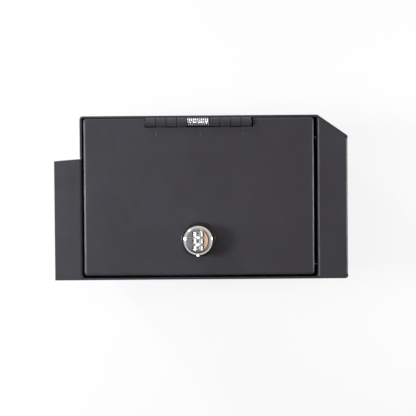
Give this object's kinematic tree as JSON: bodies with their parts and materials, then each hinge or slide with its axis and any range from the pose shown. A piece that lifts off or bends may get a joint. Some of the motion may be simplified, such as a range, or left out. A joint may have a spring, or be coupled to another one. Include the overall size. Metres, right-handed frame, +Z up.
{
  "type": "console safe",
  "caption": "Steel console safe with an inset hinged lid, a dial combination lock, a side mounting flange and a roofed wing with a clipped corner.",
  "frame": {"origin": "on the ground under the middle of the whole outline", "axes": "+X from the mounting flange towards the roofed wing, +Y from the lock towards the hinge, +Z up through the lid"},
  "size_m": [0.2934, 0.1638, 0.1735],
  "materials": {
    "powder_coat": "satin black powder coat with a fine grain",
    "polished_chrome": "mirror-polished chrome plate",
    "bright_zinc": "bright zinc-plated spring wire",
    "dull_zinc": "dull zinc-plated steel",
    "black_trim": "semi-gloss black"
  },
  "bodies": {
    "box": {"front_panel": "powder_coat", "back_panel": "powder_coat", "left_panel": "powder_coat", "right_panel": "powder_coat", "bottom_plate": "powder_coat", "latch_keeper": "powder_coat", "hinge_body_leaf": "powder_coat", "hinge_pin": "dull_zinc", "hinge_spring": "bright_zinc"},
    "lid": {"lid_panel": "powder_coat", "hinge_lid_leaf": "powder_coat", "lock_base_ring": "black_trim", "lock_barrel": "dull_zinc", "lock_washer": "dull_zinc", "lock_nut": "dull_zinc"},
    "knob": {"lock_head": "polished_chrome", "lock_spindle": "dull_zinc", "dial_axle": "dull_zinc", "lock_cam": "dull_zinc", "cam_washer": "dull_zinc", "cam_screw": "dull_zinc"},
    "first_dial": {"dial_1": "polished_chrome"},
    "second_dial": {"dial_2": "polished_chrome"},
    "third_dial": {"dial_3": "polished_chrome"},
    "reset_button": {"reset_pin": "black_trim"}
  },
  "joints": [
    {"name": "lid_hinge", "type": "hinge", "parent": "box", "child": "lid", "pos_m": [-0.00225, 0.0751, 0.1522], "axis": [-1, 0, 0], "range_deg": [0, 110], "deforming": ["hinge_spring"]},
    {"name": "knob_turn", "type": "hinge", "parent": "lid", "child": "knob", "pos_m": [-0.00325, -0.04174, 0.152], "axis": [0, 0, 1], "range_deg": [0, 90]},
    {"name": "dial_1_turn", "type": "hinge", "parent": "knob", "child": "first_dial", "pos_m": [-0.00325, -0.03569, 0.1656], "axis": [0, 1, 0], "continuous": true},
    {"name": "dial_2_turn", "type": "hinge", "parent": "knob", "child": "second_dial", "pos_m": [-0.00325, -0.04249, 0.1656], "axis": [0, 1, 0], "continuous": true},
    {"name": "dial_3_turn", "type": "hinge", "parent": "knob", "child": "third_dial", "pos_m": [-0.00325, -0.04929, 0.1656], "axis": [0, 1, 0], "continuous": true},
    {"name": "reset_press", "type": "slide", "parent": "knob", "child": "reset_button", "axis": [0, 0, -1], "range_m": [0, 0.001], "stiffness_N_per_m": 60}
  ]
}
